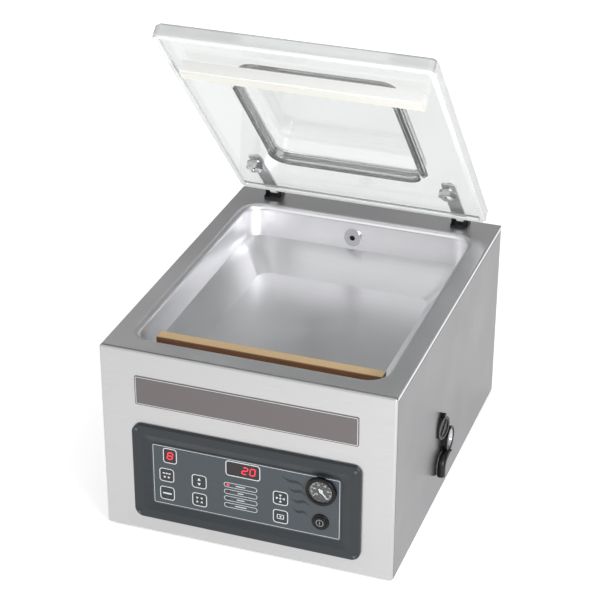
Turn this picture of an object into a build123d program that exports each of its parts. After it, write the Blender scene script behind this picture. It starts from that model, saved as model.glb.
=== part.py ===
"""Tabletop chamber vacuum packing machine, open lid, in millimetres.

+X is to the right, the control panel faces -Y, +Z is up. The origin lies on the
table under the middle of the casing. The lid is drawn open, at its rest pose.
"""
import math
import os

from build123d import *

os.makedirs("parts", exist_ok=True)

# ---------------------------------------------------------------- casing
CASE_W = 450.0            # outside width
CASE_D = 580.0            # outside depth
DECK_Z = 312.0            # top face of the deck above the table
SKIRT_Z = 4.0             # lower edge of the panels above the table
SHEET = 1.5               # thickness of the panels
FOLD = 6.0                # depth of the folded returns
FOLD_R = 3.0              # outside radius of a fold
SEAM = 1.4                # shadow gap between two panels
FRONT_Y = -CASE_D / 2
REAR_Y = CASE_D / 2
SIDE_X = CASE_W / 2
BASE_Z = 18.0             # underside of the base plate
BASE_T = 2.0
BASE_TOP = BASE_Z + BASE_T

# ---------------------------------------------------------------- chamber
DRAWN = 2.0               # thickness of the drawn deck and tub
TUB_W = 380.0             # between the tub's side walls
TUB_FRONT = -248.0        # inner face of the tub's front wall
TUB_REAR = 229.0          # inner face of the tub's rear wall
TUB_R = 30.0              # corner radius of the tub
LIP_R = 9.0               # rolled lip between deck and tub
WALL_DEPTH = 55.0         # upright part of the tub's walls
TUB_DEPTH = 87.0          # deck to floor
SIDE_RUN = 45.0           # how far the lower walls slope in
REAR_RUN = 68.0
FRONT_RUN = 30.0
TUB_BEND_R = 9.0          # radius of the bends at the slopes
FLOOR_Z = DECK_Z - TUB_DEPTH

# ---------------------------------------------------------------- seal bar
SEAL_L = 350.0
SEAL_W = 20.0
SEAL_H = 22.0
SEAL_Y = -189.0
SEAL_TOP = DECK_Z - 25.0
TAPE_T = 0.6
STRIP_T = 0.5
STRIP_W = 3.0
STRIP_PITCH = 7.0
LIFT = 8.0                # travel of the seal bar
PLUNGER_R = 5.0
PLUNGER_X = 110.0
LIFT_BODY_R = 12.0
RUN_FIT = 0.05            # radial running clearance of pins and plungers

# ---------------------------------------------------------------- lid
OPEN_DEG = 48.0           # the lid's stop
HINGE_Y = 270.0
HINGE_Z = DECK_Z + 16.0
HINGE_X = 161.0
LID_W = 420.0
LID_FRONT = -273.0        # closed position of the lid's edges
LID_REAR = 250.0
LID_T = 20.0
LID_GAP = 3.0             # lid above the deck, on its gasket
LID_R = 12.0
LID_CHAMFER = 4.0
DOME_W = 240.0            # inside of the dome
DOME_FRONT = -145.0
DOME_REAR = 125.0
DOME_H = 40.0             # dome ceiling above the lid's underside
DOME_WALL = 8.0           # thinned by the forming
DOME_ROOT_R = 8.0         # outer blend between dome and slab
DOME_R = 22.0
DOME_LIP_R = 8.0          # rounding of the opening under the dome
DOME_EDGE_R = 5.0         # inner rounding of the ceiling
GASKET_W = 7.0
GASKET_IN = 5.2           # middle of the gasket from the lid's edge
GROOVE_D = 4.0
COUNTER_L = 366.0
COUNTER_W = 24.0
CONTACT_GAP = 0.3         # left between the raised seal bar and the silicone

# ---------------------------------------------------------------- hinge
PIN_R = 4.0
KNUCKLE_R = 10.0
KNUCKLE_W = 10.5
STRAP_W = 22.0
STRAP_T = 3.0
BLOCK_W = 28.0
EAR_W = 3.0
SPRING_WIRE = 1.6
SPRING_PITCH = 1.75
SPRING_TURNS = 2.2
BOLT_R = 4.0
BOLT_Y = 150.0
NUT_AF = 24.0
NUT_H = 8.0
WASHER_T = 1.5

# ---------------------------------------------------------------- control panel
BEZEL_W, BEZEL_H, BEZEL_Z = 354.0, 161.0, 111.0
BEZEL_T = 5.0
BEZEL_R = 14.0
PANEL_T = 1.5             # floor of the bezel's recess
RECESS_W, RECESS_H = 322.0, 131.0
BEZEL_SCREW_X, BEZEL_SCREW_Z, BEZEL_SCREW_R = 169.0, 73.0, 1.5
OVERLAY_W, OVERLAY_H = 294.0, 105.0
OVERLAY_T = 0.8
OVERLAY_R = 6.0
KEY = 20.0
KEY_T = 2.0
KEY_FIT = 0.3             # clearance round a key, a lens or a button
KEY_STROKE = 0.4
KEY_X = (-124.0, -72.5, 54.5)
KEY_Z = (111.5, 79.5)
DISPLAY_Z = 146.0
PROGRAM_X, PROGRAM_W, PROGRAM_H = -118.0, 18.0, 22.0
VALUE_X, VALUE_W, VALUE_H = -3.5, 50.0, 22.0
LED_X, LED_TOP_Z, LED_PITCH, LED_R = -27.0, 116.5, 11.8, 2.0
GAUGE_X, GAUGE_Z, GAUGE_R = 117.0, 139.0, 23.3
DIAL_R = 18.5
BUTTON_X, BUTTON_Z, BUTTON_R = 116.0, 85.0, 13.0
BUTTON_STROKE = 3.0
LABEL_W, LABEL_H, LABEL_Z, LABEL_T = 342.0, 48.0, 248.0, 0.8
PANEL_FACE = FRONT_Y - PANEL_T            # face of the bezel's recess
OVERLAY_FACE = PANEL_FACE - OVERLAY_T
BOARD_Y = FRONT_Y + 10.0                  # front face of the control board
BOARD_W, BOARD_H, BOARD_T = 262.0, 112.0, 1.6
BOARD_X, BOARD_Z = -44.0, 112.0

# ---------------------------------------------------------------- drive, under the tub
MOUNT_H = 15.0
PUMP_W, PUMP_D, PUMP_H = 186.0, 150.0, 150.0
PUMP_X, PUMP_Y = -97.0, 60.0
SHAFT_Z = BASE_TOP + MOUNT_H + 70.0
MOTOR_R, MOTOR_L = 62.0, 140.0
COVER_L = 46.0
SHAFT_R = 7.0
FAN_R = 52.0
MOTOR_X = PUMP_X + PUMP_W / 2             # where the motor meets the pump
HOSE_R = 8.0
PORT_X, PORT_Z = -9.0, DECK_Z - 33.0
PORT_R = 15.0
PORT_T = 4.0


def write(piece, name):
    piece.part.label = name
    export_step(piece.part, f"parts/{name}.step")
    print(name, len(piece.part.solids()), round(piece.part.volume))


def front_plane(y):
    """Upright plane at y that looks out of the front, local Y up."""
    return Plane.XZ.offset(-y)


# ================================================================ panels
PANEL_H = DECK_Z - SKIRT_Z
PANEL_MID = (DECK_Z + SKIRT_Z) / 2

with BuildPart() as front_panel:
    with BuildSketch(front_plane(FRONT_Y)):
        with Locations((0, PANEL_MID)):
            RectangleRounded(CASE_W, PANEL_H, FOLD_R)
    extrude(amount=-FOLD)
    fillet(front_panel.faces().sort_by(Axis.Y)[0].edges(), FOLD_R - 0.2)
    with BuildSketch(front_plane(FRONT_Y + SHEET)):
        with Locations((0, PANEL_MID)):
            RectangleRounded(CASE_W - 2 * SHEET, PANEL_H - 2 * SHEET, FOLD_R - SHEET)
    extrude(amount=-FOLD, mode=Mode.SUBTRACT)
    with BuildSketch(front_plane(FRONT_Y)):
        with Locations((BOARD_X, BOARD_Z)):
            Rectangle(BOARD_W - 16, BOARD_H - 16)
        with Locations((GAUGE_X, GAUGE_Z)):
            Circle(GAUGE_R - 3)
        with Locations((BUTTON_X, BUTTON_Z)):
            Circle(BUTTON_R + 1)
        with Locations((0, BEZEL_Z)):
            with GridLocations(2 * BEZEL_SCREW_X, 2 * BEZEL_SCREW_Z, 2, 2):
                Circle(BEZEL_SCREW_R)
    extrude(amount=-SHEET, mode=Mode.SUBTRACT)
write(front_panel, "front_panel")

SIDE_TOP = DECK_Z - FOLD - SEAM
SIDE_FRONT = FRONT_Y + FOLD + SEAM
SIDE_REAR = REAR_Y - FOLD_R - SEAM
SIDE_LEN = SIDE_REAR - SIDE_FRONT
SIDE_MID_Y = (SIDE_REAR + SIDE_FRONT) / 2
SIDE_FLANGE = 12.0
TAB_W, TAB_H, TAB_PITCH, TABS = 24.0, 30.0, 200.0, 3
TAB_X = SIDE_X - DRAWN - FOLD_R - SHEET / 2   # tabs that carry the deck, inside its fold
CASE_SCREW_X, CASE_SCREW_PITCH, CASE_SCREW_R = SIDE_X - 7.0, 360.0, 2.0
INLET_Y, INLET_Z, INLET_NECK = -20.0, 88.5, 14.0


def side_panel(sign):
    """Side sheet with a flange under the base plate and tabs under the deck."""
    with BuildPart() as panel:
        with BuildSketch(Plane.YZ.offset(sign * (SIDE_X - SHEET / 2))):
            with Locations((SIDE_MID_Y, (SIDE_TOP + SKIRT_Z) / 2)):
                Rectangle(SIDE_LEN, SIDE_TOP - SKIRT_Z)
        extrude(amount=SHEET / 2, both=True)
        with BuildSketch(Plane.XY.offset(BASE_Z - SHEET)):
            with Locations((sign * (SIDE_X - SIDE_FLANGE / 2), SIDE_MID_Y)):
                Rectangle(SIDE_FLANGE, SIDE_LEN)
        extrude(amount=SHEET)
        with GridLocations(0, TAB_PITCH, 1, TABS):
            with Locations((sign * TAB_X, SIDE_MID_Y, DECK_Z - DRAWN)):
                Box(SHEET, TAB_W, TAB_H, align=(Align.CENTER, Align.CENTER, Align.MAX))
            with Locations((sign * (TAB_X + SIDE_X - SHEET / 2) / 2, SIDE_MID_Y, SIDE_TOP - 2)):
                Box(SIDE_X - SHEET / 2 - TAB_X, TAB_W, TAB_H / 2,
                    align=(Align.CENTER, Align.CENTER, Align.MAX))
        with BuildSketch(Plane.XY.offset(BASE_Z - SHEET)):
            with GridLocations(2 * CASE_SCREW_X, CASE_SCREW_PITCH, 2, 2):
                Circle(CASE_SCREW_R)
        extrude(amount=SHEET, mode=Mode.SUBTRACT)
        if sign > 0:
            with BuildSketch(Plane.YZ.offset(SIDE_X - SHEET)):
                with Locations((INLET_Y, INLET_Z)):
                    Circle(INLET_NECK)
            extrude(amount=SHEET, mode=Mode.SUBTRACT)
    return panel


write(side_panel(-1), "left_side_panel")
write(side_panel(1), "right_side_panel")

REAR_W = CASE_W - 2 * SHEET - 1.0
REAR_TOP = DECK_Z - FOLD - SEAM
VENT_W, VENT_H, VENT_PITCH, VENTS = 90.0, 4.0, 10.0, 9
REAR_FLANGE = 12.0

with BuildPart() as rear_panel:
    with BuildSketch(front_plane(REAR_Y - SHEET)):
        with Locations((0, (REAR_TOP + SKIRT_Z) / 2)):
            Rectangle(REAR_W, REAR_TOP - SKIRT_Z)
        with Locations((-SIDE_X / 2, PANEL_MID), (SIDE_X / 2, PANEL_MID)):
            with GridLocations(0, VENT_PITCH, 1, VENTS):
                SlotOverall(VENT_W, VENT_H, mode=Mode.SUBTRACT)
    extrude(amount=-SHEET)
    with BuildSketch(Plane.XY.offset(BASE_Z - SHEET)):
        with Locations((0, REAR_Y - SHEET - REAR_FLANGE / 2)):
            Rectangle(REAR_W - 2 * SIDE_FLANGE, REAR_FLANGE)
    extrude(amount=SHEET)
write(rear_panel, "rear_panel")

BASE_W = CASE_W - 2 * SHEET - 1.0
BASE_FRONT = FRONT_Y + SHEET
BASE_REAR = REAR_Y - 2 * SHEET
FOOT_R, FOOT_X, FOOT_Y = 15.0, 185.0, 245.0
SCREW_R = 3.0

with BuildPart() as base_plate:
    with BuildSketch(Plane.XY.offset(BASE_Z)):
        with Locations((0, (BASE_FRONT + BASE_REAR) / 2)):
            Rectangle(BASE_W, BASE_REAR - BASE_FRONT)
        with Locations((-SIDE_X / 2, -60)):
            with GridLocations(0, 12, 1, 6):
                SlotOverall(80, 5, mode=Mode.SUBTRACT)
        with GridLocations(2 * FOOT_X, 2 * FOOT_Y, 2, 2):
            Circle(SCREW_R + 0.2, mode=Mode.SUBTRACT)
        with GridLocations(2 * CASE_SCREW_X, CASE_SCREW_PITCH, 2, 2):
            Circle(CASE_SCREW_R, mode=Mode.SUBTRACT)
    extrude(amount=BASE_T)
write(base_plate, "base_plate")

with BuildPart() as feet:
    with GridLocations(2 * FOOT_X, 2 * FOOT_Y, 2, 2):
        Cone(FOOT_R - 2, FOOT_R, BASE_Z, align=(Align.CENTER, Align.CENTER, Align.MIN))
        with Locations((0, 0, BASE_Z)):
            Cylinder(SCREW_R, BASE_T + 3, align=(Align.CENTER, Align.CENTER, Align.MIN))
write(feet, "feet")


# ================================================================ deck and tub
def chamber_space(grow):
    """The chamber's hollow, or with grow the outside of its drawn wall."""
    mid_y = (TUB_FRONT + TUB_REAR) / 2
    length = TUB_REAR - TUB_FRONT
    floor_w = TUB_W - 2 * SIDE_RUN
    floor_l = length - REAR_RUN - FRONT_RUN
    floor_y = mid_y + (FRONT_RUN - REAR_RUN) / 2
    with BuildPart() as space:
        with BuildSketch(Plane.XY.offset(DECK_Z - WALL_DEPTH)) as mouth:
            with Locations((0, mid_y)):
                RectangleRounded(TUB_W + 2 * grow, length + 2 * grow, TUB_R + grow)
        extrude(amount=WALL_DEPTH + 1)
        with BuildSketch(Plane.XY.offset(FLOOR_Z - grow)) as floor:
            with Locations((0, floor_y)):
                RectangleRounded(floor_w + 2 * grow, floor_l + 2 * grow, TUB_R - 8 + grow)
        loft([floor.sketch.faces()[0], mouth.sketch.faces()[0]])
    return space.part


def chamber_former(grow):
    """Block whose upper face and hollow are one face of the drawn sheet."""
    front = SIDE_FRONT - SEAM + 0.3 if grow == 0 else FRONT_Y - 20
    rear = REAR_Y - grow
    with BuildPart() as former:
        with BuildSketch(Plane.XY.offset(FLOOR_Z - DRAWN - (30 if grow else 0))):
            with Locations((0, (front + rear) / 2)):
                Rectangle(CASE_W - 2 * grow, rear - front)
        extrude(amount=TUB_DEPTH + DRAWN - grow + (30 if grow else 0))
        top = former.faces().sort_by(Axis.Z)[-1]
        fillet(top.edges().filter_by(Axis.Y) + [top.edges().sort_by(Axis.Y)[-1]], FOLD_R - grow / 2)
        add(chamber_space(grow), mode=Mode.SUBTRACT)
        lip = former.faces().sort_by(Axis.Z)[-1].inner_wires()[0]
        fillet(lip.edges(), LIP_R - grow)
    return former.part


RIM_CLEAR = 4.0           # keeps the cut away from the tub's outside
with BuildPart() as keep_clear:
    with BuildSketch(Plane.XY.offset(FLOOR_Z - DRAWN - 1)):
        with Locations((0, 0)):
            Rectangle(CASE_W + 2, CASE_D + 2)
        with Locations((0, (TUB_FRONT + TUB_REAR) / 2)):
            Rectangle(TUB_W + 2 * (DRAWN + RIM_CLEAR), TUB_REAR - TUB_FRONT + 2 * (DRAWN + RIM_CLEAR),
                      mode=Mode.SUBTRACT)
    extrude(amount=TUB_DEPTH + DRAWN + 1 - FOLD)

with BuildPart() as chamber_deck:
    add(chamber_former(0))
    add(chamber_former(DRAWN), mode=Mode.SUBTRACT)
    add(keep_clear.part, mode=Mode.SUBTRACT)
    with Locations((PORT_X, TUB_REAR + DRAWN / 2, PORT_Z)):
        Cylinder(HOSE_R + 0.3, 3 * DRAWN, rotation=(90, 0, 0), mode=Mode.SUBTRACT)
    with Locations((-PLUNGER_X, SEAL_Y, FLOOR_Z), (PLUNGER_X, SEAL_Y, FLOOR_Z)):
        Cylinder(LIFT_BODY_R + 0.1, 3 * DRAWN, mode=Mode.SUBTRACT)
write(chamber_deck, "chamber_deck")


# ================================================================ seal bar and its lift
SEAL_BODY_TOP = SEAL_TOP - TAPE_T
SEAL_BODY_BOTTOM = SEAL_BODY_TOP - SEAL_H
SOCKET_D = 8.0

with BuildPart() as seal_bar_body:
    with Locations((0, SEAL_Y, SEAL_BODY_BOTTOM)):
        Box(SEAL_L, SEAL_W, SEAL_H, align=(Align.CENTER, Align.CENTER, Align.MIN))
    fillet(seal_bar_body.edges().filter_by(Axis.X).group_by(Axis.Z)[-1], 1.5)
    with Locations((-PLUNGER_X, SEAL_Y, SEAL_BODY_BOTTOM), (PLUNGER_X, SEAL_Y, SEAL_BODY_BOTTOM)):
        Cylinder(PLUNGER_R, 2 * SOCKET_D, mode=Mode.SUBTRACT)
    with Locations((0, SEAL_Y, SEAL_BODY_TOP - STRIP_T)):
        with GridLocations(0, STRIP_PITCH, 1, 2):
            Box(SEAL_L, STRIP_W, 2 * STRIP_T, align=(Align.CENTER, Align.CENTER, Align.MIN),
                mode=Mode.SUBTRACT)
write(seal_bar_body, "seal_bar_body")

with BuildPart() as heater_strips:
    with Locations((0, SEAL_Y, SEAL_BODY_TOP - STRIP_T)):
        with GridLocations(0, STRIP_PITCH, 1, 2):
            Box(SEAL_L, STRIP_W, STRIP_T, align=(Align.CENTER, Align.CENTER, Align.MIN))
write(heater_strips, "heater_strips")

with BuildPart() as ptfe_tape:
    with Locations((0, SEAL_Y, SEAL_BODY_TOP)):
        Box(SEAL_L, SEAL_W - 3, TAPE_T, align=(Align.CENTER, Align.CENTER, Align.MIN))
write(ptfe_tape, "ptfe_tape")

LIFT_TOP = SEAL_BODY_BOTTOM - 2.0
LIFT_H = 70.0
LIFT_FLANGE_R = 18.0
PLUNGER_L = 45.0

with BuildPart() as seal_bar_plungers:
    with Locations((-PLUNGER_X, SEAL_Y, 0), (PLUNGER_X, SEAL_Y, 0)):
        with Locations((0, 0, SEAL_BODY_BOTTOM + SOCKET_D - PLUNGER_L)):
            Cylinder(PLUNGER_R, PLUNGER_L, align=(Align.CENTER, Align.CENTER, Align.MIN))
write(seal_bar_plungers, "seal_bar_plungers")

with BuildPart() as lift_cylinders:
    with Locations((-PLUNGER_X, SEAL_Y, 0), (PLUNGER_X, SEAL_Y, 0)):
        with Locations((0, 0, LIFT_TOP - LIFT_H)):
            Cylinder(LIFT_BODY_R, LIFT_H, align=(Align.CENTER, Align.CENTER, Align.MIN))
        with Locations((0, 0, FLOOR_Z)):
            Cylinder(LIFT_FLANGE_R, 4, align=(Align.CENTER, Align.CENTER, Align.MIN))
        with Locations((0, 0, FLOOR_Z - DRAWN)):
            Cylinder(LIFT_FLANGE_R - 2, 6, align=(Align.CENTER, Align.CENTER, Align.MAX))
        with Locations((0, 0, LIFT_TOP - LIFT_H + 10)):
            Cylinder(PLUNGER_R + RUN_FIT, LIFT_H, align=(Align.CENTER, Align.CENTER, Align.MIN),
                     mode=Mode.SUBTRACT)
write(lift_cylinders, "lift_cylinders")

# ================================================================ suction port and hose
ELBOW_Y = TUB_REAR + 29.0
ELBOW_DROP = 20.0
ELBOW = 24.0
SPIGOT_Z = BASE_TOP + MOUNT_H + 115.0
SPIGOT_X = PUMP_X - 10.0
SPIGOT_L = 18.0
PUMP_BACK = PUMP_Y + PUMP_D / 2
HOSE_BEND = 32.0

with BuildPart() as suction_port:
    with BuildSketch(front_plane(TUB_REAR)):
        with Locations((PORT_X, PORT_Z)):
            Circle(PORT_R)
    extrude(amount=PORT_T)
    fillet(suction_port.edges().group_by(Axis.Y)[0], 1.2)
    with BuildSketch(front_plane(TUB_REAR)):
        with Locations((PORT_X, PORT_Z)):
            Circle(HOSE_R)
    extrude(amount=-(ELBOW_Y - TUB_REAR - ELBOW / 2))
    with BuildSketch(front_plane(TUB_REAR - PORT_T)):
        with Locations((PORT_X, PORT_Z)):
            Circle(4.5)
    extrude(amount=-30, mode=Mode.SUBTRACT)
write(suction_port, "suction_port")

with BuildPart() as port_elbow:
    with BuildSketch(front_plane(TUB_REAR + DRAWN)):
        with Locations((PORT_X, PORT_Z)):
            RegularPolygon(PORT_R - 1, 6)
            Circle(HOSE_R, mode=Mode.SUBTRACT)
    extrude(amount=-(ELBOW_Y - TUB_REAR - DRAWN - ELBOW / 2))
    with Locations((PORT_X, ELBOW_Y, PORT_Z)):
        Box(ELBOW, ELBOW, ELBOW)
    with Locations((PORT_X, ELBOW_Y, PORT_Z - ELBOW / 2)):
        Cylinder(HOSE_R, ELBOW_DROP - ELBOW / 2, align=(Align.CENTER, Align.CENTER, Align.MAX))
write(port_elbow, "port_elbow")

with BuildPart() as vacuum_hose:
    with BuildLine() as hose_line:
        FilletPolyline((PORT_X, ELBOW_Y, PORT_Z - ELBOW_DROP), (PORT_X, ELBOW_Y, SPIGOT_Z),
                       (SPIGOT_X, ELBOW_Y, SPIGOT_Z), (SPIGOT_X, PUMP_BACK + SPIGOT_L, SPIGOT_Z),
                       radius=HOSE_BEND)
    with BuildSketch(Plane.XY.offset(PORT_Z - ELBOW_DROP)):
        with Locations((PORT_X, ELBOW_Y)):
            Circle(HOSE_R)
    sweep()
write(vacuum_hose, "vacuum_hose")

# ================================================================ pump, motor and transformer
MOUNT_X, MOUNT_Y = 70.0, 55.0

with BuildPart() as pump_mounts:
    with Locations((PUMP_X, PUMP_Y, BASE_TOP)):
        with GridLocations(2 * MOUNT_X, 2 * MOUNT_Y, 2, 2):
            Cylinder(11, MOUNT_H, align=(Align.CENTER, Align.CENTER, Align.MIN))
write(pump_mounts, "pump_mounts")

PUMP_Z = BASE_TOP + MOUNT_H
FIN_T, FIN_PITCH, FINS = 3.0, 12.0, 9
SIGHT_R, SIGHT_X, SIGHT_Z = 12.0, PUMP_X - 55.0, BASE_TOP + MOUNT_H + 45.0
FILLER_R, FILLER_X = 13.0, PUMP_X + 40.0

with BuildPart() as vacuum_pump:
    with Locations((PUMP_X, PUMP_Y, PUMP_Z)):
        Box(PUMP_W, PUMP_D, PUMP_H, align=(Align.CENTER, Align.CENTER, Align.MIN))
    fillet(vacuum_pump.edges().filter_by(Axis.Z), 12)
    with Locations((PUMP_X, PUMP_Y, PUMP_Z + PUMP_H)):
        with GridLocations(FIN_PITCH, 0, FINS, 1):
            Box(FIN_T, PUMP_D - 30, 8, align=(Align.CENTER, Align.CENTER, Align.MIN))
    with Locations((SPIGOT_X, PUMP_BACK, SPIGOT_Z)):
        Cylinder(HOSE_R, SPIGOT_L, rotation=(-90, 0, 0), align=(Align.CENTER, Align.CENTER, Align.MIN))
    with Locations((MOTOR_X, PUMP_Y, SHAFT_Z)):
        Cylinder(SHAFT_R + 1, 60, rotation=(0, 90, 0), mode=Mode.SUBTRACT)
write(vacuum_pump, "vacuum_pump")

with BuildPart() as oil_sight_glass:
    with BuildSketch(front_plane(PUMP_Y - PUMP_D / 2)):
        with Locations((SIGHT_X, SIGHT_Z)):
            Circle(SIGHT_R)
    extrude(amount=5)
    chamfer(oil_sight_glass.edges().group_by(Axis.Y)[0], 1.5)
write(oil_sight_glass, "oil_sight_glass")

with BuildPart() as oil_filler_cap:
    with BuildSketch(front_plane(PUMP_Y - PUMP_D / 2)):
        with Locations((FILLER_X, SIGHT_Z + 50)):
            Circle(FILLER_R)
            with PolarLocations(FILLER_R, 10):
                Circle(1.5, mode=Mode.SUBTRACT)
    extrude(amount=12)
write(oil_filler_cap, "oil_filler_cap")

MOTOR_END = MOTOR_X + MOTOR_L

with BuildPart() as pump_motor:
    with BuildSketch(Plane.YZ.offset(MOTOR_X)):
        with Locations((PUMP_Y, SHAFT_Z)):
            Circle(MOTOR_R)
            with PolarLocations(MOTOR_R, 24):
                Rectangle(7, 3, mode=Mode.SUBTRACT)
            Circle(SHAFT_R + 1, mode=Mode.SUBTRACT)
    extrude(amount=MOTOR_L)
    with Locations((MOTOR_X + MOTOR_L / 2, PUMP_Y, SHAFT_Z + MOTOR_R - 4)):
        Box(70, 60, 22, align=(Align.CENTER, Align.CENTER, Align.MIN))
write(pump_motor, "pump_motor")

with BuildPart() as motor_fan:
    with BuildSketch(Plane.YZ.offset(MOTOR_X - 20)):
        with Locations((PUMP_Y, SHAFT_Z)):
            Circle(SHAFT_R)
    extrude(amount=MOTOR_L + 48)
    with BuildSketch(Plane.YZ.offset(MOTOR_END + 6)):
        with Locations((PUMP_Y, SHAFT_Z)):
            Circle(20)
            with PolarLocations((FAN_R + 18) / 2, 8):
                Rectangle(FAN_R - 18, 3)
    extrude(amount=18)
write(motor_fan, "motor_fan")

with BuildPart() as fan_cover:
    with BuildSketch(Plane.YZ.offset(MOTOR_END)):
        with Locations((PUMP_Y, SHAFT_Z)):
            Circle(MOTOR_R)
    extrude(amount=COVER_L)
    fillet(fan_cover.edges().group_by(Axis.X)[-1], 4)
    with BuildSketch(Plane.YZ.offset(MOTOR_END)):
        with Locations((PUMP_Y, SHAFT_Z)):
            Circle(MOTOR_R - 2)
    extrude(amount=COVER_L - 2, mode=Mode.SUBTRACT)
    with BuildSketch(Plane.YZ.offset(MOTOR_END + COVER_L - 2)):
        with Locations((PUMP_Y, SHAFT_Z)):
            for ring in range(4):
                with PolarLocations(14 + 11 * ring, 4 + 4 * ring):
                    SlotOverall(6.5, 3.5, rotation=90)
    extrude(amount=2, mode=Mode.SUBTRACT)
write(fan_cover, "fan_cover")

CORE_X, CORE_Y = -150.0, -180.0

with BuildPart() as transformer:
    with Locations((CORE_X, CORE_Y, BASE_TOP)):
        Box(60, 84, 70, align=(Align.CENTER, Align.CENTER, Align.MIN))
    with Locations((CORE_X, CORE_Y, BASE_TOP + 14)):
        Box(86, 42, 42, align=(Align.CENTER, Align.CENTER, Align.MIN))
    with Locations((CORE_X, CORE_Y, BASE_TOP)):
        Box(60, 110, 3, align=(Align.CENTER, Align.CENTER, Align.MIN))
write(transformer, "transformer")

VALVE_X, VALVE_Y = 90.0, 210.0

with BuildPart() as valve_block:
    with Locations((VALVE_X, VALVE_Y, BASE_TOP)):
        Box(120, 40, 30, align=(Align.CENTER, Align.CENTER, Align.MIN))
        with Locations((0, 0, 30)):
            with GridLocations(38, 0, 3, 1):
                Cylinder(6, 8, align=(Align.CENTER, Align.CENTER, Align.MIN))
write(valve_block, "valve_block")

with BuildPart() as solenoid_coils:
    with Locations((VALVE_X, VALVE_Y, BASE_TOP + 38)):
        with GridLocations(38, 0, 3, 1):
            Box(28, 34, 34, align=(Align.CENTER, Align.CENTER, Align.MIN))
write(solenoid_coils, "solenoid_coils")

# ================================================================ lid, drawn open
OPEN = math.radians(OPEN_DEG)
LID = Plane(origin=(0, HINGE_Y, HINGE_Z), x_dir=(1, 0, 0), z_dir=(0, math.sin(OPEN), math.cos(OPEN)))
LID_UP = Axis(LID.origin, LID.z_dir)
UNDER = DECK_Z + LID_GAP - HINGE_Z        # lid's underside in the lid's own frame
TOP = UNDER + LID_T


def lid_y(closed_y):
    """Place along the lid's own frame of a point given for the closed lid."""
    return closed_y - HINGE_Y


def lid_z(closed_z):
    return closed_z - HINGE_Z


LID_MID = lid_y((LID_FRONT + LID_REAR) / 2)
LID_L = LID_REAR - LID_FRONT
DOME_MID = lid_y((DOME_FRONT + DOME_REAR) / 2)
DOME_L = DOME_REAR - DOME_FRONT
GROOVE_W = GASKET_W + 0.2

with BuildPart() as lid_shell:
    with BuildSketch(LID.offset(UNDER)):
        with Locations((0, LID_MID)):
            RectangleRounded(LID_W, LID_L, LID_R)
    extrude(amount=LID_T)
    chamfer(lid_shell.faces().sort_by(LID_UP)[-1].edges(), LID_CHAMFER)
    with BuildSketch(LID.offset(TOP)):
        with Locations((0, DOME_MID)):
            RectangleRounded(DOME_W + 2 * DOME_WALL, DOME_L + 2 * DOME_WALL, DOME_R + DOME_WALL)
    extrude(amount=UNDER + DOME_H + DOME_WALL - TOP)
    fillet(lid_shell.faces().sort_by(LID_UP)[-1].edges(), DOME_EDGE_R + DOME_WALL - 1)
    slab_top = LID.from_local_coords((0, LID_MID + LID_L / 2 - LID_CHAMFER, TOP))
    fillet(lid_shell.faces().sort_by_distance(slab_top)[0].inner_wires()[0].edges(), DOME_ROOT_R)
    with BuildSketch(LID.offset(UNDER)):
        with Locations((0, DOME_MID)):
            RectangleRounded(DOME_W, DOME_L, DOME_R)
    extrude(amount=DOME_H, mode=Mode.SUBTRACT)
    ceiling = LID.from_local_coords((0, DOME_MID, UNDER + DOME_H))
    fillet(lid_shell.faces().sort_by_distance(ceiling)[0].edges(), DOME_EDGE_R)
    fillet(lid_shell.faces().sort_by(LID_UP)[0].inner_wires()[0].edges(), DOME_LIP_R)
    with BuildSketch(LID.offset(UNDER)):
        with Locations((0, LID_MID)):
            RectangleRounded(LID_W - 2 * GASKET_IN + GROOVE_W, LID_L - 2 * GASKET_IN + GROOVE_W, LID_R - 1)
            RectangleRounded(LID_W - 2 * GASKET_IN - GROOVE_W, LID_L - 2 * GASKET_IN - GROOVE_W, LID_R / 3,
                             mode=Mode.SUBTRACT)
    extrude(amount=GROOVE_D, mode=Mode.SUBTRACT)
    with BuildSketch(LID.offset(UNDER)):
        with Locations((-HINGE_X, lid_y(BOLT_Y)), (HINGE_X, lid_y(BOLT_Y))):
            Circle(BOLT_R)
    extrude(amount=LID_T, mode=Mode.SUBTRACT)
write(lid_shell, "lid_shell")

with BuildPart() as lid_gasket:
    with BuildSketch(LID.offset(lid_z(DECK_Z) + 0.3)):
        with Locations((0, LID_MID)):
            RectangleRounded(LID_W - 2 * GASKET_IN + GASKET_W, LID_L - 2 * GASKET_IN + GASKET_W, LID_R - 1)
            RectangleRounded(LID_W - 2 * GASKET_IN - GASKET_W, LID_L - 2 * GASKET_IN - GASKET_W, LID_R / 3,
                             mode=Mode.SUBTRACT)
    extrude(amount=LID_GAP + GROOVE_D - 0.3)
write(lid_gasket, "lid_gasket")

# counter bar: white holder under the lid, silicone profile let into it
COUNTER_BOTTOM = lid_z(SEAL_TOP + LIFT + CONTACT_GAP)
HOLDER_BOTTOM = COUNTER_BOTTOM + 3.0
SILICONE_W = COUNTER_W - 6.0
SILICONE_DEPTH = 8.0
COUNTER_Y = lid_y(SEAL_Y)

with BuildPart() as counter_bar_holder:
    with BuildSketch(LID.offset(HOLDER_BOTTOM)):
        with Locations((0, COUNTER_Y)):
            Rectangle(COUNTER_L, COUNTER_W)
    extrude(amount=UNDER - HOLDER_BOTTOM)
    with BuildSketch(LID.offset(HOLDER_BOTTOM)):
        with Locations((0, COUNTER_Y)):
            Rectangle(COUNTER_L, SILICONE_W)
    extrude(amount=SILICONE_DEPTH - 3.0, mode=Mode.SUBTRACT)
write(counter_bar_holder, "counter_bar_holder")

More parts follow.
